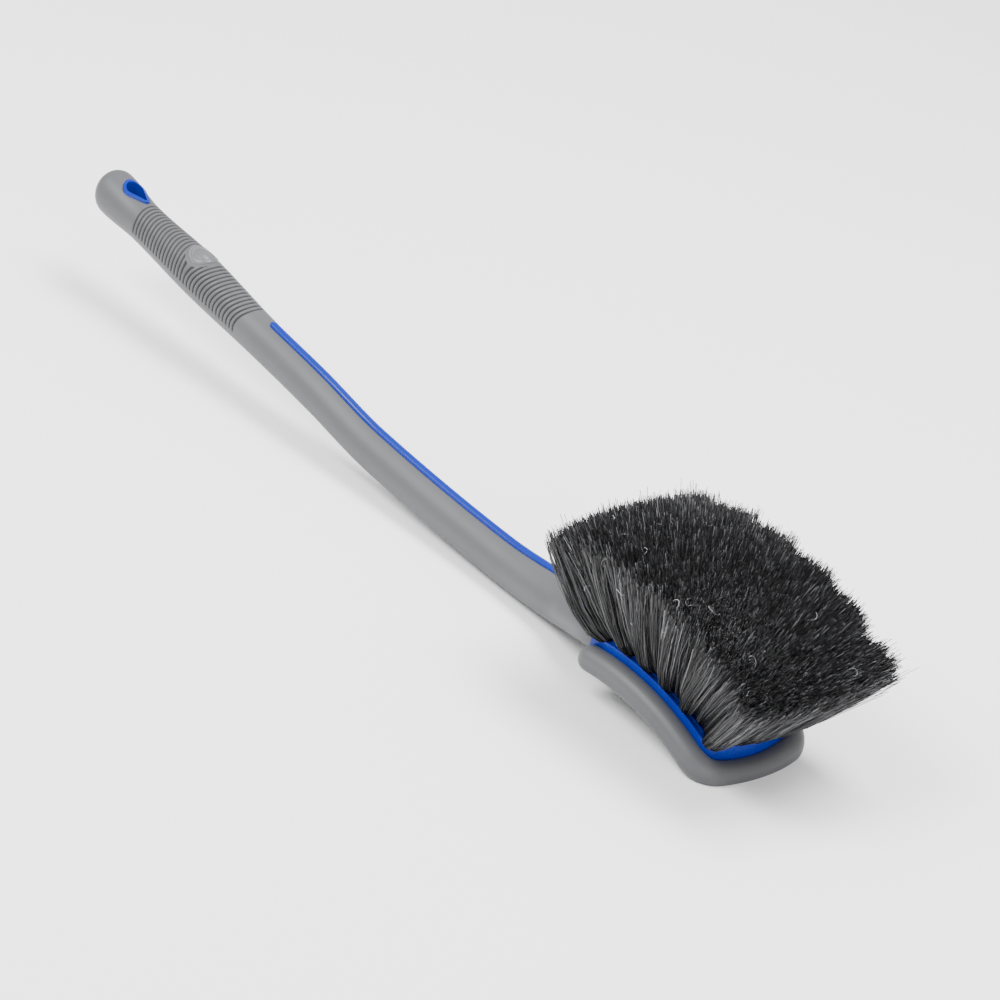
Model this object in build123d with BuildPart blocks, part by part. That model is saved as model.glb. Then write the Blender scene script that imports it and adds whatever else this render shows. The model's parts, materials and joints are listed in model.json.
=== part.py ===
from build123d import *
import math
import os

# Long-handled wheel brush lying on its back, bristles up. Millimetres.
# +X runs from the butt to the tip of the head, +Z is the bristle side, z = 0 is the surface it lies on.
# The origin is the centre of the whole brush's box, on that surface.

os.makedirs("parts", exist_ok=True)

# Overall
handle_length = 423.0      # butt end to the back of the head
head_length = 94.0         # back of the head to the tip of its bumper
head_width = 76.6          # across the bumper
bristle_length = 56.0      # face of the tuft block to the cut ends

# Grip and shaft: heights of the handle's axis above the rest surface, and half sizes of its section
butt_height = 54.5
waist_height = 48.5
bulge_height = 41.7
grip_end_height = 32.8
shaft_mid_height = 17.4
belly_height = 10.9
butt_half = 12.5
waist_half = 10.7
bulge_half = 12.1
shaft_half = 10.4
belly_half = 10.9
shaft_ridge = 11.4         # axis to the grey ridge on the shaft
butt_drop = 2.0            # how far the axis falls over the flared butt
butt_round = 8.0

# Stations along the handle, from the butt or back from the head
butt_flare_at = 12.0
waist_at = 36.0
bulge_at = 86.0
grip_end_at = 141.0
belly_back = 88.0          # from the back of the head
neck_back = 44.0

# Moulding
core_half_wide = 5.0
core_half_thick = 5.0
core_start = 4.0           # from the butt
stripe_half = 2.3          # half width of the blue bead along the ridge
neck_flare = 56.0          # where the ridge starts to widen, back from the head
neck_mid_half = 10.5       # half width of the blue top halfway along the flare
neck_top_half = 27.0       # half width of the blue top where it meets the head
stripe_start = 145.0       # from the butt

# Plain round badge on top of the grip
badge_at = 84.7            # from the butt
badge_radius = 8.0
badge_thick = 1.2
badge_gap = 0.1
raised = 0.8               # ridge, badge and eye rim stand this far out of the grey

# Hanging eye through the butt: a circle and a point, towards the head
eye_at = 22.0              # centre of the eye's round end, from the butt
eye_radius = 4.8
eye_point = 10.6           # centre of the round end to the point
eye_point_round = 0.7
eye_wall = 1.7

# Head: every layer is an arc about one axis across the brush
arch_radius = 137.0        # top of the tray's rim
crown_back = 21.0          # back of the head to the crown of the arch
crown_height = 29.5        # top of the rim at the crown
bumper_radius = 6.4
bumper_wide = 9.0          # outer edge of the bumper to the tray
bumper_above = 1.4         # bumper's top above the rim
head_corner = 17.0
head_end_bow = 5.0         # how far the end of the head bows out
tray_floor = 2.0
tray_depth = 8.0
tray_rim = 2.2
back_skin = 1.6
tray_back = 5.0            # back of the head to the tray's back wall

# Tufts
block_gap = 0.15
block_above = 0.8
tuft_rows = 11
tufts_across = 7
tuft_edge = 3.6            # edge of the block to the centre of the outer tufts
last_row_share = 0.7       # of the head end's bow, which the last row follows
root_radius = 2.5
root_gap = 0.1
root_depth = 6.5
tip_radius = 5.4
fan_neck = 32.0            # lean of the first row from upright, degrees, towards the neck
fan_tip = 39.0             # lean of the last row from upright, degrees, past the tip
fan_side = 20.0            # lean of the outer tufts, degrees, sideways
anchor_wide = 5.8
anchor_thick = 0.5
anchor_high = 2.0

# Derived places
block_inset = bumper_wide + tray_rim + block_gap
first_row_back = tray_back + tray_rim + block_gap + tuft_edge
last_row_front = block_inset + tuft_edge
fan_reach = bristle_length * math.sin(math.radians(fan_tip)) + tip_radius * math.cos(math.radians(fan_tip))
bristle_overhang = fan_reach - last_row_front
butt_x = -(handle_length + head_length + bristle_overhang) / 2
head_x = butt_x + handle_length
tip_x = head_x + head_length
arch_x = head_x + crown_back
arch_z = crown_height - arch_radius
belly_x = head_x - belly_back
grip_end_x = butt_x + grip_end_at
stripe_x = butt_x + stripe_start
shaft_mid_x = (grip_end_x + belly_x) / 2
tray_x = head_x + tray_back
neck_end = tray_x - 1       # the handle's form stops just inside the tray's back wall
reach = head_width          # larger than any half width, for cutting right through
section_points_round = 12   # points round each upright section of the handle
handle_cuts = 20            # spaces between the handle's sections


def handle_stations():
    """x, height of the widest level, half width, top above it, bottom below it, pointedness of the top."""
    mid = (shaft_half, shaft_ridge, shaft_half)
    neck_start = head_x - neck_back
    neck_step = (neck_end - neck_start) / 4
    return [
        (butt_x, butt_height, butt_half, butt_half, butt_half, 1.0),
        (butt_x + butt_flare_at, butt_height - butt_drop, butt_half, butt_half, butt_half, 1.0),
        (butt_x + waist_at, waist_height, waist_half, waist_half, waist_half, 1.0),
        (butt_x + bulge_at, bulge_height, bulge_half, bulge_half, bulge_half, 1.0),
        (grip_end_x, grip_end_height, *mid, 1.1),
        ((grip_end_x + shaft_mid_x) / 2, 0.55 * grip_end_height + 0.45 * shaft_mid_height, *mid, 1.25),
        (shaft_mid_x, shaft_mid_height, *mid, 1.3),
        (belly_x, belly_height, belly_half, shaft_ridge, belly_half, 1.3),
        (neck_start, 12.6, 14.0, 12.0, 11.0, 1.1),
        (neck_start + neck_step, 15.5, 18.0, 11.6, 10.8, 0.95),
        (neck_start + 2 * neck_step, 18.6, 22.4, 10.9, 10.6, 0.8),
        (neck_start + 3 * neck_step, 21.5, 26.6, 10.0, 10.0, 0.7),
        (neck_end, 23.3, 28.2, 9.6, 8.8, 0.6),
    ]


def handle_sections():
    """Evenly spaced sections between the butt and the neck's end, eased from station to station."""
    stations = handle_stations()
    slopes = []
    for i in range(len(stations)):
        before, after = stations[max(i - 1, 0)], stations[min(i + 1, len(stations) - 1)]
        slopes.append([(b - a) / (after[0] - before[0]) for a, b in zip(before, after)])
    sections = []
    for k in range(handle_cuts + 1):
        x = butt_x + (neck_end - butt_x) * k / handle_cuts
        i = min(sum(station[0] <= x for station in stations), len(stations) - 1) - 1
        gap = stations[i + 1][0] - stations[i][0]
        t = (x - stations[i][0]) / gap
        eased = 3 * t**2 - 2 * t**3
        leave, arrive = gap * (t - 2 * t**2 + t**3), gap * (t**3 - t**2)
        rows = zip(stations[i], stations[i + 1], slopes[i], slopes[i + 1])
        values = [a + (b - a) * eased + m * leave + n * arrive for a, b, m, n in rows]
        sections.append((x, *values[1:]))
    return sections


def section_points(width, top, bottom, pointed, height):
    """Points around one upright section, egg-shaped: pointed above 1 draws its top to a ridge."""
    points = []
    for i in range(section_points_round):
        turn = 2 * math.pi * i / section_points_round
        across, up = math.cos(turn), math.sin(turn)
        narrow = abs(across) ** (pointed if up > 0 else 1.0)
        side = math.copysign(width * narrow, across) if abs(across) > 1e-9 else 0.0
        points.append((side, height + (top if up > 0 else bottom) * up))
    return points


def handle_form(inset):
    """The handle's outer form, drawn in by inset on every side."""
    with BuildPart() as form:
        for x, height, width, top, bottom, pointed in handle_sections():
            at = x + inset if x == butt_x else x
            with BuildSketch(Plane.YZ.offset(at)):
                with BuildLine():
                    Spline(
                        *section_points(width - inset, top - inset, bottom - inset, pointed, height),
                        periodic=True,
                    )
                make_face()
        loft()
        butt_edge = form.edges().group_by(Axis.X)[0]
        fillet(butt_edge, butt_round - inset)
    return form.part


def ridge_plan():
    """The blue ridge seen from above: a strip with a round start that flares into the neck's top."""
    flare_x = head_x - neck_flare
    with BuildSketch() as plan:
        with BuildLine():
            start = ThreePointArc(
                (stripe_x + stripe_half, stripe_half), (stripe_x, 0), (stripe_x + stripe_half, -stripe_half)
            )
            edge = Line(start @ 1, (flare_x, -stripe_half))
            flare = Spline(
                edge @ 1,
                (head_x - neck_flare / 2, -neck_mid_half),
                (neck_end, -neck_top_half),
                tangents=[(1, 0), (1, -0.45)],
            )
            Line(flare @ 1, (neck_end, 0))
            mirror(about=Plane.XZ)
        make_face()
    return plan.sketch


def axis_band(below, above, start_x):
    """Everything between two distances from the handle's axis, from start_x to the neck's end."""
    sections = handle_sections()
    line = [(start_x, sections[0][1])] + [section[:2] for section in sections[1:]]
    low = [(x, height - below) for x, height in line]
    high = [(x, height + above) for x, height in reversed(line)]
    with BuildPart() as band:
        with BuildSketch(Plane.XZ):
            with BuildLine():
                Polyline(*low, *high, close=True)
            make_face()
        extrude(amount=reach, both=True)
    return band.part


def eye_prism(wall):
    """Upright prism of the hanging eye's teardrop, grown by wall."""
    with BuildPart() as prism:
        with BuildSketch(Plane.XY.offset(butt_height - butt_half - 10)):
            with Locations((butt_x + eye_at, 0)):
                Circle(eye_radius + wall)
            with Locations((butt_x + eye_at + eye_point - eye_point_round, 0)):
                Circle(eye_point_round + wall)
            make_hull()
        extrude(amount=2 * butt_half + 20)
    return prism.part


def head_outline(inset, back_x):
    """The head's plan, drawn in by inset and starting at back_x."""
    half = head_width / 2 - inset
    end_x = tip_x - inset
    shoulder_x = end_x - head_end_bow
    with BuildSketch() as outline:
        with BuildLine():
            Polyline((shoulder_x, half), (back_x, half), (back_x, -half), (shoulder_x, -half))
            ThreePointArc((shoulder_x, -half), (end_x, 0), (shoulder_x, half))
        make_face()
        fillet(outline.vertices().group_by(Axis.X)[-1], head_corner - inset)
    return outline.sketch


def arch_slab(below, above):
    """Curved slab under the head's arch, between two depths measured from the top of the rim."""
    with BuildPart() as slab:
        with BuildSketch(Plane.XZ):
            with Locations((arch_x, arch_z)):
                Circle(arch_radius + above)
                Circle(arch_radius - below, mode=Mode.SUBTRACT)
        extrude(amount=reach, both=True)
    return slab.part


def tuft_planes(row):
    """One plane per tuft of a row: origin on the block's face, Z along the tuft."""
    count = tufts_across - row % 2
    share = row / (tuft_rows - 1)
    row_x = head_x + first_row_back + share * (head_length - first_row_back - last_row_front)
    lean = math.radians(-fan_neck + share * (fan_neck + fan_tip))
    edge_y = head_width / 2 - block_inset - tuft_edge
    spacing = 2 * edge_y / (tufts_across - 1)
    planes = []
    for i in range(count):
        y = (i - (count - 1) / 2) * spacing
        side = math.radians(fan_side * y / edge_y)
        x = row_x - share * last_row_share * head_end_bow * (y / edge_y) ** 2
        z = arch_z + math.sqrt((arch_radius + block_above) ** 2 - (x - arch_x) ** 2)
        along = (math.sin(lean) * math.cos(side), math.sin(side), math.cos(lean) * math.cos(side))
        across_row = (math.cos(lean), 0, -math.sin(lean))
        planes.append(Plane(origin=(x, y, z), x_dir=across_row, z_dir=along))
    return planes


def deeper(planes, depth):
    """The same planes moved down along the tufts by depth."""
    return [plane.offset(-depth) for plane in planes]


def write(builder, name):
    builder.part.label = name
    export_step(builder.part, f"parts/{name}.step")


# Shared forms
outer_form = handle_form(0)
raised_form = handle_form(-raised)
badge_floor = handle_form(badge_thick)
eye_hole = eye_prism(0)
eye_ring = eye_prism(eye_wall)
grip_slope = math.atan2(waist_height - grip_end_height, grip_end_at - waist_at)
badge_height = waist_height - (badge_at - waist_at) * math.tan(grip_slope)
grip_plane = Plane(
    origin=(butt_x + badge_at, 0, badge_height),
    x_dir=(math.cos(grip_slope), 0, -math.sin(grip_slope)),
    z_dir=(math.sin(grip_slope), 0, math.cos(grip_slope)),
)
all_tufts = [plane for row in range(tuft_rows) for plane in tuft_planes(row)]
anchor_depth = root_depth - anchor_high / 2 - root_gap

tray_arch = arch_slab(tray_depth + tray_floor, 0)
pocket_arch = arch_slab(tray_depth, 10 * block_above)
block_arch = arch_slab(tray_depth - block_gap, block_above)
bumper_arch = arch_slab(tray_depth + tray_floor, bumper_above - bumper_radius)
skin_arch = arch_slab(tray_depth + tray_floor + back_skin, -tray_depth - tray_floor)

# Room for the tuft block in the tray
with BuildPart() as pocket:
    with BuildSketch():
        add(head_outline(bumper_wide + tray_rim, tray_x + tray_rim))
    extrude(amount=reach)
    add(pocket_arch, mode=Mode.INTERSECT)

# Blue ridge along the shaft, flaring into the top of the neck
with BuildPart() as ridge:
    with BuildSketch():
        add(ridge_plan())
    extrude(amount=reach)
    add(raised_form, mode=Mode.INTERSECT)
    add(axis_band(0, reach, butt_x), mode=Mode.INTERSECT)

# Blue walls of the hanging eye, flush with the grip underneath and with a raised rim on top
with BuildPart() as eye_rim:
    add(eye_ring)
    add(raised_form, mode=Mode.INTERSECT)
    add(axis_band(0, reach, butt_x), mode=Mode.INTERSECT)

with BuildPart() as eye:
    add(eye_ring)
    add(outer_form, mode=Mode.INTERSECT)
    add(eye_rim.part)

# Square spine that runs the whole length of the handle
with BuildPart() as spine:
    Box(2 * (handle_length + head_length), 2 * core_half_wide, 4 * reach)
    add(axis_band(core_half_thick, core_half_thick, butt_x + core_start), mode=Mode.INTERSECT)

# Arched tray in the head that the tuft block sits in, still solid
with BuildPart() as tray:
    with BuildSketch():
        add(head_outline(bumper_wide, head_x + 1))
    extrude(amount=reach)
    add(tray_arch, mode=Mode.INTERSECT)

# Blue core: the shaft's spine with its ridge, the neck's top, the hanging eye and the head's tray
with BuildPart() as handle_core:
    add(tray.part)
    add(spine.part)
    add(ridge.part)
    add(eye.part)
    add(pocket.part, mode=Mode.SUBTRACT)
    add(eye_hole, mode=Mode.SUBTRACT)
write(handle_core, "handle_core")

# Grey roll round the head, open at the neck, with a round end each side of it
with BuildPart() as bumper_guide:
    with BuildSketch():
        add(head_outline(bumper_radius, head_x + bumper_radius))
    extrude(amount=reach)
    add(bumper_arch, mode=Mode.INTERSECT)
guide_top = bumper_guide.faces().filter_by(GeomType.CYLINDER).sort_by(SortBy.AREA)[-1]
bumper_route = Wire(guide_top.edges().sort_by(Axis.X)[1:])

with BuildPart() as head_bumper:
    with BuildSketch(Plane(origin=bumper_route @ 0, z_dir=bumper_route % 0)):
        Circle(bumper_radius)
    sweep(path=bumper_route)
    with Locations(bumper_route @ 0, bumper_route @ 1):
        Sphere(bumper_radius)
    with BuildSketch() as surround:
        add(head_outline(-bumper_radius, head_x - bumper_radius))
        add(head_outline(bumper_wide, head_x - 2 * bumper_radius), mode=Mode.SUBTRACT)
    extrude(amount=reach, mode=Mode.INTERSECT)
write(head_bumper, "head_bumper")

# Grey overmould: grip, flanks and back of the handle, and the skin under the head
with BuildPart() as badge_seat:
    with BuildSketch(grip_plane):
        Circle(badge_radius + badge_gap)
    extrude(amount=2 * bulge_half)
    add(badge_floor, mode=Mode.SUBTRACT)

with BuildPart() as handle_overmould:
    with BuildSketch():
        add(head_outline(bumper_wide, head_x + 1))
    extrude(amount=reach)
    add(skin_arch, mode=Mode.INTERSECT)
    add(outer_form)
    add(spine.part, mode=Mode.SUBTRACT)
    add(ridge.part, mode=Mode.SUBTRACT)
    add(eye.part, mode=Mode.SUBTRACT)
    add(tray.part, mode=Mode.SUBTRACT)
    add(pocket.part, mode=Mode.SUBTRACT)
    add(head_bumper.part, mode=Mode.SUBTRACT)
    add(eye_hole, mode=Mode.SUBTRACT)
    add(badge_seat.part, mode=Mode.SUBTRACT)
write(handle_overmould, "handle_overmould")

# Plain round badge let into the top of the grip
with BuildPart() as grip_badge:
    with BuildSketch(grip_plane):
        Circle(badge_radius)
    extrude(amount=2 * bulge_half)
    add(raised_form, mode=Mode.INTERSECT)
    add(badge_floor, mode=Mode.SUBTRACT)
write(grip_badge, "grip_badge")

# Blue block that the tufts are set in, with a hole and an anchor slot for each tuft
with BuildPart() as tuft_block:
    with BuildSketch():
        add(head_outline(block_inset, tray_x + tray_rim + block_gap))
    extrude(amount=reach)
    add(block_arch, mode=Mode.INTERSECT)
    with Locations(*deeper(all_tufts, root_depth)):
        Cylinder(
            root_radius + root_gap, 2 * root_depth,
            align=(Align.CENTER, Align.CENTER, Align.MIN), mode=Mode.SUBTRACT,
        )
    with Locations(*deeper(all_tufts, anchor_depth)):
        Box(anchor_thick, anchor_wide, anchor_high, mode=Mode.SUBTRACT)
write(tuft_block, "tuft_block")

# Tufts and the flat metal anchors that hold their folds in the block, row by row from the neck
for row in range(tuft_rows):
    planes = tuft_planes(row)
    with BuildPart() as anchor_row:
        with Locations(*deeper(planes, anchor_depth)):
            Box(anchor_thick, anchor_wide, anchor_high)
    write(anchor_row, f"anchor_row_{row + 1:02d}")
    with BuildPart() as tuft_row:
        with Locations(*planes):
            Cone(root_radius, tip_radius, bristle_length, align=(Align.CENTER, Align.CENTER, Align.MIN))
            Cylinder(root_radius, root_depth - root_gap, align=(Align.CENTER, Align.CENTER, Align.MAX))
        with Locations(*deeper(planes, anchor_depth)):
            Box(anchor_thick + root_gap, anchor_wide, anchor_high + root_gap, mode=Mode.SUBTRACT)
    write(tuft_row, f"tuft_row_{row + 1:02d}")
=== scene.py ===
import json
import math

import bmesh
import bpy
import numpy as np
from mathutils import Matrix, Vector


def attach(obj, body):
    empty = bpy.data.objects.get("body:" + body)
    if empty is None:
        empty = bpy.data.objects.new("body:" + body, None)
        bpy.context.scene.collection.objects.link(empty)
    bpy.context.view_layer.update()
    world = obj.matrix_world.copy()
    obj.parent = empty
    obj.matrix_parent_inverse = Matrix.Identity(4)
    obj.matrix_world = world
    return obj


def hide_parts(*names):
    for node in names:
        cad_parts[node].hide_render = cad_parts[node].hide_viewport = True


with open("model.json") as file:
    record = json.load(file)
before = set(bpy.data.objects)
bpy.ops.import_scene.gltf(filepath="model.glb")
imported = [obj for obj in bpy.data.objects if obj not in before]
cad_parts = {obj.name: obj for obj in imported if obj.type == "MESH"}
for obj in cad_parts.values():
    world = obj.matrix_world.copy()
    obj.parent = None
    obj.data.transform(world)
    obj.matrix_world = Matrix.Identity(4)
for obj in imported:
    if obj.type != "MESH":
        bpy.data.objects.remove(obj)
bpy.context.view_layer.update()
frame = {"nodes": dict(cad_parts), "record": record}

# Wheel brush on its back on a pale floor. Metres, in the row frame:
# +X from the butt to the head's tip, +Z the bristle side, z = 0 the floor.

draw = np.random.default_rng(20)
MM = 0.001

# Head and tufts, millimetres, the same places as the CAD
head_x = 152.256
head_length = 94.0
arch_x, arch_z, arch_radius = 173.256, -107.5, 137.0
block_above = 0.8
tuft_rows, tufts_across = 11, 7
first_row_back, last_row_front, edge_y = 10.95, 14.95, 23.35
fan_neck, fan_tip, fan_side = 32.0, 39.0, 20.0
head_end_bow = 5.0
last_row_share = 0.7
bristle_length = 56.0
hole_radius = 2.3

# Strands
strands_per_tuft = 740
strand_root, strand_tip = 0.175, 0.15
strand_size_range = (0.85, 1.15)
strand_steps = np.array([0.0, 0.05, 0.1, 0.2, 0.42, 0.75, 1.0])
root_depth = 3.0
root_fill = 0.93
root_shade = 26.0
root_light = 0.12
tip_spread, tip_scatter = 8.9, 0.4
fan_from, fan_run, fan_curve = 0.05, 0.95, 0.43
outer_row, outer_tuft = 0.85, 0.8
edge_swell, swell_from, swell_curve = 4.6, 0.04, 0.55
clumps_per_tuft = 46
clump_pull, clump_pull_range = 0.35, (0.3, 1.3)
clump_length_scatter, strand_length_scatter = 0.9, 0.8
short_row_fill = 22.0
stray_share, stray_length, stray_bend = 0.02, 5.0, 4.5
bend_size, bend_ease = 1.9, 1.6
wave_size, wave_turns, wave_starts = 0.5, (6, 12), (0, 6)
hook_size, hook_from, hook_run = 0.8, 0.8, 0.2

# Loose curly fibres
frizz_count = 90
frizz_radius = 0.09
frizz_points, frizz_step = 16, 0.75
frizz_curl, frizz_turn = 0.45, 0.5
frizz_on_side = 0.45
frizz_heights = (14, 50)
frizz_sunk = 1.5
frizz_reach = 0.9
frizz_scatter = 6

# Handle, millimetres: x, height of the widest level, half width, top, bottom, pointedness of the top
butt_x = -270.744
butt_round = 8.0
handle_stations = np.array([
    (-270.744, 54.5, 12.5, 12.5, 12.5, 1.0),
    (-258.744, 52.5, 12.5, 12.5, 12.5, 1.0),
    (-234.744, 48.5, 10.7, 10.7, 10.7, 1.0),
    (-184.744, 41.7, 12.1, 12.1, 12.1, 1.0),
    (-129.744, 32.8, 10.4, 11.4, 10.4, 1.1),
    (-81.244, 25.87, 10.4, 11.4, 10.4, 1.25),
    (-32.744, 17.4, 10.4, 11.4, 10.4, 1.3),
    (64.256, 11.0, 10.9, 11.4, 10.9, 1.3),
    (108.256, 12.6, 14.0, 12.0, 11.0, 1.1),
    (120.256, 15.5, 18.0, 11.6, 10.8, 0.95),
    (132.256, 18.6, 22.4, 10.9, 10.6, 0.8),
    (144.256, 21.5, 26.6, 10.0, 10.0, 0.7),
    (156.256, 23.3, 28.2, 9.6, 8.8, 0.6),
])
skin_from = 153.4
badge_x = -186.044
badge_clear, badge_fade = 9.4, 0.4
groove_pitch, groove_depth = 2.8, 0.85
grooves_to_butt, grooves_to_head = 17, 16
groove_flank, flank_fade = 2.6, 0.6
# Share of the groove depth beyond which groove faces get the near-black painted shade
groove_shade_from = 0.4
groove_profile = (
    (-0.82, 0.0), (-0.7, 0.1), (-0.56, 0.92), (-0.25, 1.0),
    (0.25, 1.0), (0.56, 0.92), (0.7, 0.1), (0.82, 0.0),
)
butt_bow, head_bow = -2.6, 4.6
around = 160
badge_steps = 64
ridge_raised = 0.8
bead_start, bead_half, bead_rise, bead_fade = -125.744, 2.28, 1.0, 30.0
bead_run = (-123.4, 118.0)
bead_sunk = 0.4
eye_x, eye_far, eye_seat, eye_point_seat = -248.744, 9.9, 6.4, 2.3


# ---------------------------------------------------------------- materials
def shader(name):
    made = bpy.data.materials.new(name)
    made.use_nodes = True
    return made, made.node_tree, made.node_tree.nodes["Principled BSDF"]


def noise(tree, scale, detail=3.0):
    """Noise over object space; returns its 0..1 output."""
    place = tree.nodes.new("ShaderNodeTexCoord")
    speckle = tree.nodes.new("ShaderNodeTexNoise")
    speckle.inputs["Scale"].default_value = scale
    speckle.inputs["Detail"].default_value = detail
    tree.links.new(place.outputs["Object"], speckle.inputs["Vector"])
    return speckle.outputs["Fac"]


def tinted(tree, socket, factor, low, high):
    """A colour between low and high, by factor."""
    mix = tree.nodes.new("ShaderNodeMix")
    mix.data_type = "RGBA"
    mix.inputs["A"].default_value = (*low, 1.0)
    mix.inputs["B"].default_value = (*high, 1.0)
    tree.links.new(factor, mix.inputs["Factor"])
    tree.links.new(mix.outputs["Result"], socket)


def ranged(tree, socket, factor, low, high):
    """A value between low and high, by factor."""
    spread = tree.nodes.new("ShaderNodeMapRange")
    spread.inputs["To Min"].default_value = low
    spread.inputs["To Max"].default_value = high
    tree.links.new(factor, spread.inputs["Value"])
    tree.links.new(spread.outputs["Result"], socket)


def bumped(tree, bsdf, height, strength, distance):
    bump = tree.nodes.new("ShaderNodeBump")
    bump.inputs["Strength"].default_value = strength
    bump.inputs["Distance"].default_value = distance
    tree.links.new(height, bump.inputs["Height"])
    tree.links.new(bump.outputs["Normal"], bsdf.inputs["Normal"])


def moulded(name, low, high, rough_low, rough_high, grain, bump):
    """A moulded plastic or rubber: broad tone, finer sheen changes and a fine grain."""
    made, tree, bsdf = shader(name)
    tinted(tree, bsdf.inputs["Base Color"], noise(tree, 18.0), low, high)
    ranged(tree, bsdf.inputs["Roughness"], noise(tree, 90.0, 5.0), rough_low, rough_high)
    bumped(tree, bsdf, noise(tree, grain, 2.0), bump, 0.0002)
    return made, bsdf


blue, blue_bsdf = moulded("blue_gloss", (0.0, 0.012, 0.2), (0.0, 0.018, 0.26), 0.22, 0.32, 900.0, 0.05)
blue_bsdf.inputs["Coat Weight"].default_value = 0.06
blue_bsdf.inputs["Coat Roughness"].default_value = 0.08
blue_bsdf.inputs["Specular IOR Level"].default_value = 0.22
grey, grey_bsdf = moulded("grey_satin", (0.066, 0.067, 0.072), (0.09, 0.091, 0.097), 0.4, 0.5, 2600.0, 0.16)
grey_bsdf.inputs["Specular IOR Level"].default_value = 0.3
badge, _ = moulded("badge_satin", (0.088, 0.088, 0.096), (0.11, 0.11, 0.118), 0.34, 0.44, 1800.0, 0.1)
steel, steel_bsdf = moulded("anchor_wire", (0.58, 0.58, 0.57), (0.68, 0.68, 0.66), 0.22, 0.38, 3000.0, 0.1)
steel_bsdf.inputs["Metallic"].default_value = 1.0


def shaded(tree, socket):
    """Darkens a colour towards the tuft block, where little light gets in; returns the input to link to."""
    place = tree.nodes.new("ShaderNodeTexCoord")
    from_axis = tree.nodes.new("ShaderNodeVectorMath")
    from_axis.operation = "SUBTRACT"
    from_axis.inputs[1].default_value = (arch_x * MM, 0.0, arch_z * MM)
    in_plane = tree.nodes.new("ShaderNodeVectorMath")
    in_plane.operation = "MULTIPLY"
    in_plane.inputs[1].default_value = (1.0, 0.0, 1.0)
    radius = tree.nodes.new("ShaderNodeVectorMath")
    radius.operation = "LENGTH"
    light = tree.nodes.new("ShaderNodeMapRange")
    light.inputs["From Min"].default_value = arch_radius * MM
    light.inputs["From Max"].default_value = (arch_radius + root_shade) * MM
    light.inputs["To Min"].default_value = root_light
    dim = tree.nodes.new("ShaderNodeVectorMath")
    dim.operation = "SCALE"
    tree.links.new(place.outputs["Object"], from_axis.inputs[0])
    tree.links.new(from_axis.outputs["Vector"], in_plane.inputs[0])
    tree.links.new(in_plane.outputs["Vector"], radius.inputs[0])
    tree.links.new(radius.outputs["Value"], light.inputs["Value"])
    tree.links.new(light.outputs["Result"], dim.inputs["Scale"])
    tree.links.new(dim.outputs["Vector"], socket)
    return dim.inputs[0]


def filament(name, shades, rough_low, rough_high):
    """Fine filaments: tone changes from one to the next by (position, grey) shades, sheen along them."""
    made, tree, bsdf = shader(name)
    one = tree.nodes.new("ShaderNodeNewGeometry").outputs["Random Per Island"]
    ramp = tree.nodes.new("ShaderNodeValToRGB")
    while len(ramp.color_ramp.elements) < len(shades):
        ramp.color_ramp.elements.new(0.5)
    for stop, (place, tone) in zip(ramp.color_ramp.elements, shades):
        stop.position = place
        stop.color = (tone, tone, tone * 1.06, 1.0)
    tree.links.new(one, ramp.inputs["Fac"])
    tree.links.new(ramp.outputs["Color"], shaded(tree, bsdf.inputs["Base Color"]))
    ranged(tree, bsdf.inputs["Roughness"], noise(tree, 700.0, 2.0), rough_low, rough_high)
    return made, bsdf


black_shades = ((0.0, 0.006), (0.75, 0.022), (0.9, 0.075), (1.0, 0.22))
black, black_bsdf = filament("black_filament", black_shades, 0.32, 0.48)
black_bsdf.inputs["Specular IOR Level"].default_value = 0.6
frizz_look, _ = filament("pale_frizz", ((0.0, 0.14), (1.0, 0.45)), 0.4, 0.6)
# Near-black painted shade for the deep faces of the grip grooves, standing in for the shadow inside them
groove_painted_shade, _ = moulded("grey_painted_groove_shade", (0.010, 0.010, 0.011), (0.018, 0.018, 0.02), 0.6, 0.7, 2600.0, 0.1)

looks = {
    "blue_plastic": blue,
    "grey_rubber": grey,
    "badge_rubber": badge,
    "black_bristle": black,
    "anchor_steel": steel,
}
for part in frame["record"]["subparts"]:
    node = frame["nodes"][part["node"]]
    for each in node.material_slots:
        each.material = looks[part["material_slot"]]


# ---------------------------------------------------------------- meshes
def mesh_piece(name, points, faces, look, smooth=True):
    """A mesh object from an (n, 3) array in millimetres and an (m, 3) or (m, 4) array of corners."""
    mesh = bpy.data.meshes.new(name)
    corners = faces.shape[1]
    mesh.vertices.add(len(points))
    mesh.vertices.foreach_set("co", (points * MM).astype(np.float32).ravel())
    mesh.loops.add(faces.size)
    mesh.loops.foreach_set("vertex_index", faces.astype(np.int32).ravel())
    mesh.polygons.add(len(faces))
    mesh.polygons.foreach_set("loop_start", np.arange(0, faces.size, corners, dtype=np.int32))
    mesh.polygons.foreach_set("use_smooth", np.full(len(faces), smooth))
    mesh.update(calc_edges=True)
    mesh.validate()
    mesh.materials.append(look)
    made = bpy.data.objects.new(name, mesh)
    bpy.context.scene.collection.objects.link(made)
    return made


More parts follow.
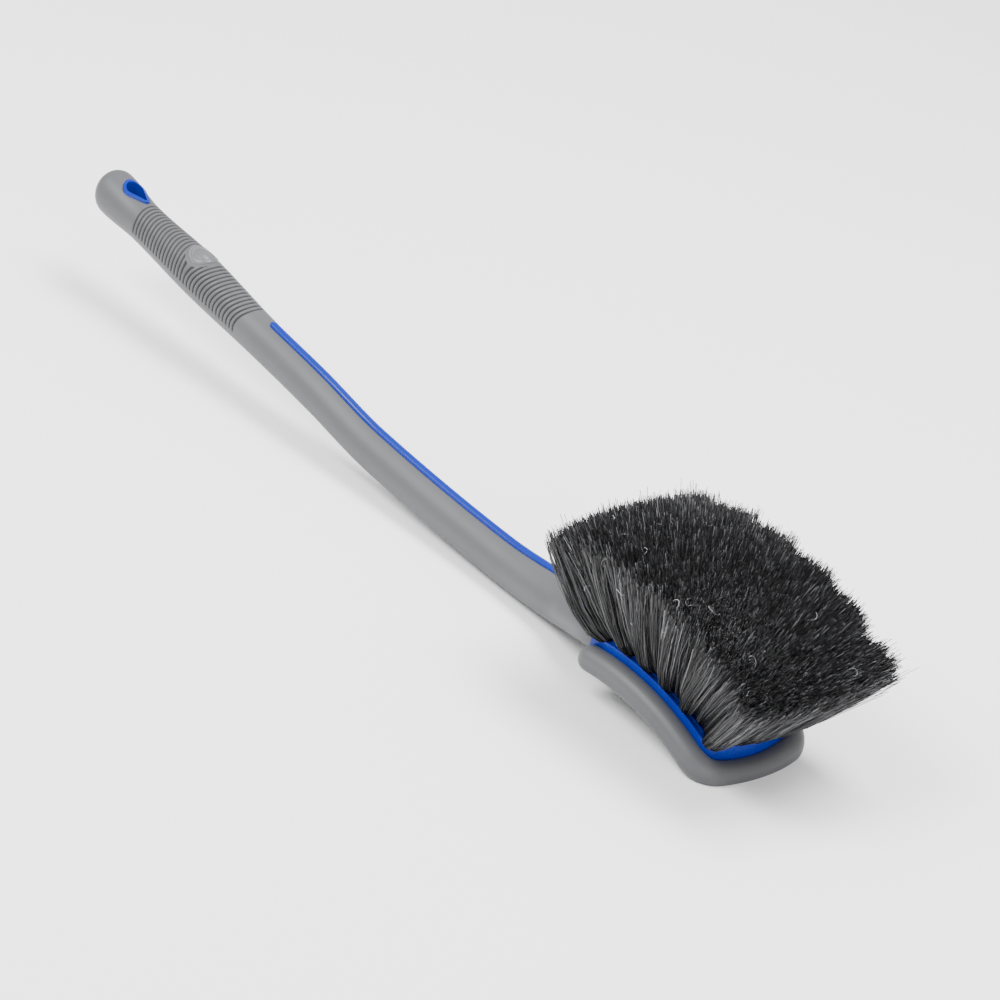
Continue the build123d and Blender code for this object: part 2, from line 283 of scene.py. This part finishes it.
def strand_tubes(paths, radii):
    """Closed three-sided tubes along paths (n, rings, 3) with radii (n, rings)."""
    count, rings, _ = paths.shape
    along = np.gradient(paths, axis=1)
    along /= np.linalg.norm(along, axis=2, keepdims=True)
    side = np.cross(along, np.array([0.3, 0.9, 0.2]))
    side /= np.linalg.norm(side, axis=2, keepdims=True)
    other = np.cross(along, side)
    turn = draw.uniform(0, 2 * math.pi, (count, 1, 1))
    corners = []
    for k in range(3):
        angle = turn + k * 2 * math.pi / 3
        corners.append(paths + radii[:, :, None] * (np.cos(angle) * side + np.sin(angle) * other))
    points = np.stack(corners, axis=2).reshape(-1, 3)
    one = []
    for ring in range(rings - 1):
        low, high = 3 * ring, 3 * ring + 3
        for k in range(3):
            n = (k + 1) % 3
            one.append((low + k, low + n, high + n))
            one.append((low + k, high + n, high + k))
    last = 3 * (rings - 1)
    one.append((0, 2, 1))
    one.append((last, last + 1, last + 2))
    start = (np.arange(count) * 3 * rings)[:, None, None]
    faces = (np.array(one)[None] + start).reshape(-1, 3)
    return points, faces


def tuft_frames(row):
    """Origin on the block's face, and the across, side and along directions, of each tuft of a row."""
    count = tufts_across - row % 2
    share = row / (tuft_rows - 1)
    row_x = head_x + first_row_back + share * (head_length - first_row_back - last_row_front)
    lean = math.radians(-fan_neck + share * (fan_neck + fan_tip))
    spacing = 2 * edge_y / (tufts_across - 1)
    frames = []
    middle = (tuft_rows - 1) / 2
    row_side = (row - middle) / middle
    for i in range(count):
        y = (i - (count - 1) / 2) * spacing
        side = math.radians(fan_side * y / edge_y)
        x = row_x - share * head_end_bow * (y / edge_y) ** 2 * last_row_share
        z = arch_z + math.sqrt((arch_radius + block_above) ** 2 - (x - arch_x) ** 2)
        along = Vector((math.sin(lean) * math.cos(side), math.sin(side), math.cos(lean) * math.cos(side)))
        across = Vector((math.cos(lean), 0, -math.sin(lean)))
        outward_row = row_side if abs(row_side) > outer_row else 0.0
        outward_tuft = y / edge_y if abs(y) > outer_tuft * edge_y else 0.0
        outward = (outward_row, outward_tuft)
        frames.append([np.array(v) for v in ((x, y, z), across, along.cross(across), along, outward)])
    return frames


def tuft_paths(place, across, side, along, outward):
    """Strand centre lines of one tuft, fanned from its hole to the cut surface in small clumps."""
    n = strands_per_tuft
    angle = draw.uniform(0, 2 * math.pi, n)
    out = np.sqrt(draw.uniform(0, 1, n))
    spot = np.stack((out * np.cos(angle), out * np.sin(angle)), axis=1)
    clump_angle = draw.uniform(0, 2 * math.pi, clumps_per_tuft)
    clump_out = np.sqrt(draw.uniform(0, 1, clumps_per_tuft))
    clumps = np.stack((clump_out * np.cos(clump_angle), clump_out * np.sin(clump_angle)), axis=1)
    nearest = np.linalg.norm(spot[:, None] - clumps[None], axis=2).argmin(axis=1)
    stray = draw.uniform(0, 1, n) < stray_share
    gathered = spot + (clumps[nearest] - spot) * clump_pull * draw.uniform(*clump_pull_range, (n, 1))
    gathered = gathered / np.sqrt(np.abs(spot).max(axis=1, keepdims=True) / out[:, None])
    root = place - root_depth * along + hole_radius * root_fill * (spot[:, :1] * across + spot[:, 1:] * side)
    shift = (tip_spread * gathered - hole_radius * root_fill * spot) + draw.normal(0, tip_scatter, (n, 2))
    shift[:, 1] += short_row_fill * (outward[1] - outward[1] ** 3) * np.clip(spot[:, 1] * outward[1], 0, 1)
    spread = shift[:, :1] * across + shift[:, 1:] * side
    toward = along * (bristle_length + root_depth) + spread
    reach = (bristle_length + root_depth) / np.linalg.norm(toward, axis=1)
    change = draw.normal(0, clump_length_scatter, clumps_per_tuft)[nearest]
    change = change + draw.normal(0, strand_length_scatter, n)
    change = change + np.where(stray, draw.uniform(-stray_length, stray_length, n), 0)
    reach = reach * (1 + change / bristle_length)
    bend = draw.normal(0, bend_size, (n, 3))
    bend = bend + np.where(stray[:, None], draw.normal(0, stray_bend, (n, 3)), 0)
    t = strand_steps[None, :, None]
    upward = along[None, None] * (bristle_length + root_depth) * t
    fanned = spread[:, None] * np.clip((t - fan_from) / fan_run, 0, 1) ** fan_curve
    swell = edge_swell * np.clip(spot @ outward, 0, 1)[:, None, None]
    swell = swell * np.sin(math.pi * np.clip(t - swell_from, 0, 1) ** swell_curve)
    swell = swell * (outward[0] * across + outward[1] * side)
    wave = draw.normal(0, wave_size, (n, 1, 3))
    wave = wave * np.sin(t * draw.uniform(*wave_turns, (n, 1, 1)) + draw.uniform(*wave_starts, (n, 1, 1)))
    hook = draw.normal(0, hook_size, (n, 1, 3)) * np.clip((t - hook_from) / hook_run, 0, 1)
    straight = root[:, None] + (upward + fanned) * reach[:, None, None]
    return straight + bend[:, None] * t**2 * (bend_ease - t) + wave * t + swell + hook


def taper(count, rings):
    size = draw.uniform(*strand_size_range, (count, 1))
    return size * np.linspace(strand_root, strand_tip, rings)[None]


for row in range(tuft_rows):
    paths = np.concatenate([tuft_paths(*each) for each in tuft_frames(row)])
    points, faces = strand_tubes(paths, taper(*paths.shape[:2]))
    node = f"tuft_row_{row + 1:02d}"
    piece = mesh_piece(f"bristles_{row + 1:02d}", points, faces, black, smooth=False)
    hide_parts(node)
    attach(piece, "root")


def frizz_path(start, heading):
    """A loose fibre that curls off in its own direction."""
    turn = draw.normal(0, 1, 3)
    points = [start]
    step = heading / np.linalg.norm(heading)
    for _ in range(frizz_points - 1):
        turn = turn + draw.normal(0, frizz_turn, 3)
        step = step + frizz_curl * np.cross(turn, step) / np.linalg.norm(turn)
        step /= np.linalg.norm(step)
        points.append(points[-1] + frizz_step * step)
    return np.array(points)


curls = []
for _ in range(frizz_count):
    row = int(draw.integers(0, tuft_rows))
    row_frames = tuft_frames(row)
    near_side = draw.uniform() < frizz_on_side
    chosen = 0 if near_side else int(draw.integers(0, len(row_frames)))
    place, across, side, along, _ = row_frames[chosen]
    if side[1] > 0:
        side = -side
    if near_side:
        high = draw.uniform(*frizz_heights)
        out = high / bristle_length * tip_spread * frizz_reach
    else:
        high = bristle_length - frizz_sunk
        out = draw.uniform(-frizz_scatter, frizz_scatter)
    start = place + along * high + side * out + across * draw.uniform(-frizz_scatter, frizz_scatter)
    curls.append(frizz_path(start, across * draw.normal() + along * draw.normal(0, 0.6) + side * 0.2))
curls = np.stack(curls)
points, faces = strand_tubes(curls, np.full(curls.shape[:2], frizz_radius))
frizz = mesh_piece("loose_fibres", points, faces, frizz_look, smooth=False)
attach(frizz, "root")


# ---------------------------------------------------------------- handle
def handle_values(x):
    """Height, half width, top, bottom and pointedness at each x, eased from station to station."""
    rows = handle_stations
    before = rows[[0, *range(len(rows) - 1)]]
    after = rows[[*range(1, len(rows)), len(rows) - 1]]
    slopes = (after - before) / (after - before)[:, :1]
    k = np.clip(np.searchsorted(rows[:, 0], x, side="right") - 1, 0, len(rows) - 2)
    gap = (rows[k + 1, 0] - rows[k, 0])[..., None]
    t = (x[..., None] - rows[k, 0][..., None]) / gap
    eased = 3 * t**2 - 2 * t**3
    leave, arrive = gap * (t - 2 * t**2 + t**3), gap * (t**3 - t**2)
    values = rows[k] + (rows[k + 1] - rows[k]) * eased + slopes[k] * leave + slopes[k + 1] * arrive
    return [values[..., i] for i in range(1, 6)]


def handle_rings():
    """Place and groove depth of every ring along the handle, and how far its crown is bowed along X."""
    centres = [badge_x - groove_pitch * (i + 0.5) for i in reversed(range(grooves_to_butt))]
    centres += [badge_x + groove_pitch * (i + 0.5) for i in range(grooves_to_head)]
    rings = [(butt_x + butt_round * (1 - math.cos(turn)), 0.0) for turn in np.linspace(0.04, 1.5, 12)]
    first, last = centres[0], centres[-1]
    rings += [(x, 0.0) for x in np.linspace(butt_x + butt_round, first - 1.4, 16)]
    for centre in centres:
        rings += [(centre + off, share * groove_depth) for off, share in groove_profile]
        rings.append((centre + groove_pitch / 2, 0.0))
    rings += [(x, 0.0) for x in np.linspace(last + 2.0, skin_from, 150)]
    places, depths = np.array(rings).T
    knots = (butt_x + butt_round, first, badge_x - 10, badge_x - 1.4, badge_x + 1.4, last, last + 24)
    bows = np.interp(places, knots, (0.0, -1.6, butt_bow, butt_bow, head_bow, head_bow, 0.0))
    return places, depths, bows


def grey_handle():
    """Points, triangles and, per triangle, a mark for painted shade in the deep grooves of the grey
    overmould of the grip, shaft and neck.
    """
    places, depths, bows = handle_rings()
    turn = 2 * math.pi * np.arange(around) / around
    across, lift = np.cos(turn)[None], np.sin(turn)[None]
    x = places[:, None] + bows[:, None] * (1 - across**2)
    height, width, top, bottom, pointed = handle_values(x)
    into = np.clip(butt_round - (x - butt_x), 0, butt_round)
    inset = butt_round - np.sqrt(np.clip(butt_round**2 - into**2, 0, None))
    narrow = np.abs(across) ** np.where(lift > 0, pointed, 1.0)
    y = np.sign(across) * narrow * (width - inset)
    off = np.where(lift > 0, top - inset, bottom - inset) * lift
    flank = np.clip((off + groove_flank) / flank_fade, 0, 1)
    clear = np.clip((np.hypot(x - badge_x, y) - badge_clear) / badge_fade, 0, 1)
    depth = depths[:, None] * flank * clear
    far = np.hypot(y, off)
    y, off = y * (1 - depth / far), off * (1 - depth / far)
    points = np.stack((x, y, height + off), axis=2).reshape(-1, 3)
    rings = len(places)
    i = np.arange(rings - 1)[:, None] * around
    a = i + np.arange(around)[None]
    b = i + (np.arange(around)[None] + 1) % around
    quads = np.stack((a, b, b + around, a + around), axis=2).reshape(-1, 4)
    faces = np.concatenate((quads[:, (0, 1, 2)], quads[:, (0, 2, 3)]))
    ends = []
    for start, flip in ((0, 1), ((rings - 1) * around, 0)):
        middle = len(points)
        points = np.concatenate((points, points[start:start + around].mean(axis=0)[None]))
        ring = start + np.arange(around)
        after = start + (np.arange(around) + 1) % around
        order = (after, ring) if flip else (ring, after)
        ends.append(np.stack((*order, np.full(around, middle)), axis=1))
    faces = np.concatenate((faces, *ends))
    # Triangles deep in a groove are marked for the painted-shade material
    groove_shade_mask = np.append(depth.ravel(), (0, 0))[faces].mean(axis=1) > groove_shade_from * groove_depth
    return points, faces, groove_shade_mask


def eye_cutter():
    """Upright teardrop prism through the butt, the seat of the blue eye ring."""
    lean = math.acos((eye_seat - eye_point_seat) / eye_far)
    round_turns = np.linspace(lean, 2 * math.pi - lean, 40)
    outline = [(eye_x + eye_seat * math.cos(a), eye_seat * math.sin(a)) for a in round_turns]
    point_x = eye_x + eye_far
    point_turns = np.linspace(-lean, lean, 16)
    outline += [(point_x + eye_point_seat * math.cos(a), eye_point_seat * math.sin(a)) for a in point_turns]
    n = len(outline)
    low = np.array([(x, y, 20.0) for x, y in outline])
    high = low + (0.0, 0.0, 70.0)
    middles = np.array([low.mean(axis=0), high.mean(axis=0)])
    i, j = np.arange(n), (np.arange(n) + 1) % n
    sides = np.concatenate((np.stack((i, j, j + n), 1), np.stack((i, j + n, i + n), 1)))
    low_cap = np.stack((j, i, np.full(n, 2 * n)), 1)
    high_cap = np.stack((i + n, j + n, np.full(n, 2 * n + 1)), 1)
    points = np.concatenate((low, high, middles))
    return mesh_piece("eye_cutter", points, np.concatenate((sides, low_cap, high_cap)), grey)


points, faces, groove_shade_mask = grey_handle()
handle = mesh_piece("grey_overmould", points, faces, grey)
# Second slot: near-black painted shade in the grooves
handle.data.materials.append(groove_painted_shade)
handle.data.polygons.foreach_set("material_index", groove_shade_mask.astype(np.int32))
cutter = eye_cutter()
cut = handle.modifiers.new("eye", "BOOLEAN")
cut.object = cutter
cut.operation = "DIFFERENCE"
cut.solver = "EXACT"
evaluated = handle.evaluated_get(bpy.context.evaluated_depsgraph_get())
whole = bmesh.new()
whole.from_mesh(evaluated.to_mesh())
handle.modifiers.clear()
bpy.data.objects.remove(cutter)
cad_handle = frame["nodes"]["handle_overmould"]
under = bmesh.new()
under.from_mesh(cad_handle.data)
under.transform(cad_handle.matrix_world)
plane = (skin_from * MM, 0, 0)
bmesh.ops.remove_doubles(under, verts=under.verts, dist=1e-6)
everything = under.verts[:] + under.edges[:] + under.faces[:]
bmesh.ops.bisect_plane(under, geom=everything, plane_co=plane, plane_no=(1, 0, 0), clear_inner=True)
bmesh.ops.holes_fill(under, edges=[edge for edge in under.edges if edge.is_boundary], sides=0)
bmesh.ops.triangulate(under, faces=under.faces)
skin_mesh = bpy.data.meshes.new("skin")
for face in under.faces:
    face.material_index = 0
under.to_mesh(skin_mesh)
whole.from_mesh(skin_mesh)
whole.to_mesh(handle.data)
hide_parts("handle_overmould")
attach(handle, "root")


def ridge_top(x, y):
    """Height of the blue ridge's top at x, y."""
    height, width, top, _, pointed = handle_values(x)
    across = (np.abs(y) / (width + ridge_raised)) ** (1 / pointed)
    return height + (top + ridge_raised) * np.sqrt(1 - across**2)


def stripe_bead():
    """Rounded bead along the blue ridge, round at the grip and fading into the neck's top."""
    round_x = bead_start + bead_half * (1 - np.cos(np.linspace(0.1, 1.57, 10)))
    x = np.concatenate((round_x, np.linspace(*bead_run, 200)))
    from_round = ((bead_start + bead_half - x) / bead_half).clip(0, 1)
    round_end = np.sqrt(np.clip(1 - from_round**2, 0.001, 1))
    half = bead_half * round_end
    rise = bead_rise * round_end * np.clip((bead_run[1] - x) / bead_fade, 0.02, 1)
    turn = np.linspace(0, math.pi, 15)
    y = half[:, None] * np.cos(turn)[None]
    seat = ridge_top(x[:, None] + 0 * y, y)
    over = seat + rise[:, None] * np.sin(turn)[None] - 0.02
    under = (seat - bead_sunk)[:, ::-1]
    ring_y = np.concatenate((y, y[:, ::-1]), axis=1)
    ring_z = np.concatenate((over, under), axis=1)
    count = ring_y.shape[1]
    points = np.stack((x[:, None] + 0 * ring_y, ring_y, ring_z), axis=2).reshape(-1, 3)
    i = np.arange(len(x) - 1)[:, None] * count
    a = i + np.arange(count)[None]
    b = i + (np.arange(count)[None] + 1) % count
    quads = np.stack((a, b, b + count, a + count), axis=2).reshape(-1, 4)
    ring = np.arange(1, count - 1)
    last = (len(x) - 1) * count
    caps = (
        np.stack((0 * ring, ring + 1, ring), 1),
        np.stack((last + 0 * ring, last + ring, last + ring + 1), 1),
    )
    return points, np.concatenate((quads[:, (0, 1, 2)], quads[:, (0, 2, 3)], *caps))


points, faces = stripe_bead()
stripe = mesh_piece("blue_stripe_bead", points, faces, blue)
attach(stripe, "root")


def badge_disc():
    """Plain disc with a double outline that follows the top of the grip."""
    profile = (
        (0.0, 0.5), (4.6, 0.5), (4.8, 0.25), (5.3, 0.25), (5.5, 0.7), (6.6, 0.7), (6.8, 0.3),
        (7.3, 0.3), (7.45, 0.6), (7.85, 0.6), (8.0, 0.45), (8.0, -1.1), (0.0, -1.1),
    )
    turn = 2 * math.pi * np.arange(badge_steps) / badge_steps
    rings = []
    for radius, rise in profile:
        x = badge_x + max(radius, 0.01) * np.cos(turn)
        y = max(radius, 0.01) * np.sin(turn)
        height, width, top, _, _ = handle_values(x)
        rings.append(np.stack((x, y, height + top * np.sqrt(1 - (y / width) ** 2) + rise), axis=1))
    points = np.concatenate(rings)
    i = np.arange(len(profile) - 1)[:, None] * badge_steps
    a = i + np.arange(badge_steps)[None]
    b = i + (np.arange(badge_steps)[None] + 1) % badge_steps
    sides = np.stack((a, b, b + badge_steps, a + badge_steps), axis=2).reshape(-1, 4)[:, ::-1]
    start, end = len(points), len(points) + 1
    points = np.concatenate((points, rings[0].mean(axis=0)[None], rings[-1].mean(axis=0)[None]))
    ring = np.arange(badge_steps)
    after = (ring + 1) % badge_steps
    last = (len(profile) - 1) * badge_steps
    caps = (
        np.stack((ring, after, np.full(badge_steps, start)), 1),
        np.stack((last + after, last + ring, np.full(badge_steps, end)), 1),
    )
    return points, np.concatenate((sides[:, (0, 1, 2)], sides[:, (0, 2, 3)], *caps))


points, faces = badge_disc()
disc = mesh_piece("round_badge", points, faces, badge)
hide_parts("grip_badge")
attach(disc, "root")

# ---------------------------------------------------------------- floor, light and camera
bpy.ops.mesh.primitive_plane_add(size=14, location=(0, 0, 0))
floor = bpy.context.object
floor.name = "floor"
floor_look, floor_tree, floor_bsdf = shader("floor_pale")
floor_tone = noise(floor_tree, 3.0)
tinted(floor_tree, floor_bsdf.inputs["Base Color"], floor_tone, (0.93, 0.93, 0.93), (0.95, 0.95, 0.95))
floor_bsdf.inputs["Roughness"].default_value = 0.8
floor_bsdf.inputs["Specular IOR Level"].default_value = 0.1
floor.data.materials.append(floor_look)

world = bpy.data.worlds.new("studio")
world.use_nodes = True
world.node_tree.nodes["Background"].inputs["Color"].default_value = (1.0, 1.0, 1.0, 1.0)
world.node_tree.nodes["Background"].inputs["Strength"].default_value = 1.2
bpy.context.scene.world = world


def softbox(name, place, toward, size, power):
    lamp = bpy.data.lights.new(name, "AREA")
    lamp.shape = "RECTANGLE"
    lamp.size, lamp.size_y = size
    lamp.energy = power
    made = bpy.data.objects.new(name, lamp)
    made.location = place
    made.rotation_euler = (Vector(toward) - Vector(place)).to_track_quat("-Z", "Y").to_euler()
    bpy.context.scene.collection.objects.link(made)


softbox("key", (-0.5, -1.1, 1.5), (0.0, 0.0, 0.03), (0.9, 0.9), 50.0)
softbox("over", (0.2, 0.5, 1.7), (0.05, 0.0, 0.03), (1.4, 0.7), 55.0)
softbox("front", (1.5, -0.6, 0.7), (0.15, 0.0, 0.03), (0.6, 0.6), 8.0)

lens = bpy.data.cameras.new("camera")
lens.lens = 118.8
lens.sensor_width = 36.0
lens.clip_end = 50.0
camera = bpy.data.objects.new("camera", lens)
right = (0.654215, 0.727344, 0.207301)
up = (-0.473398, 0.180051, 0.862250)
back = (0.589827, -0.662233, 0.462116)
turned = Matrix((right, up, back)).transposed().to_4x4()
camera.matrix_world = Matrix.Translation((0.9819, -1.0426, 0.7654)) @ turned
bpy.context.scene.collection.objects.link(camera)
bpy.context.scene.camera = camera
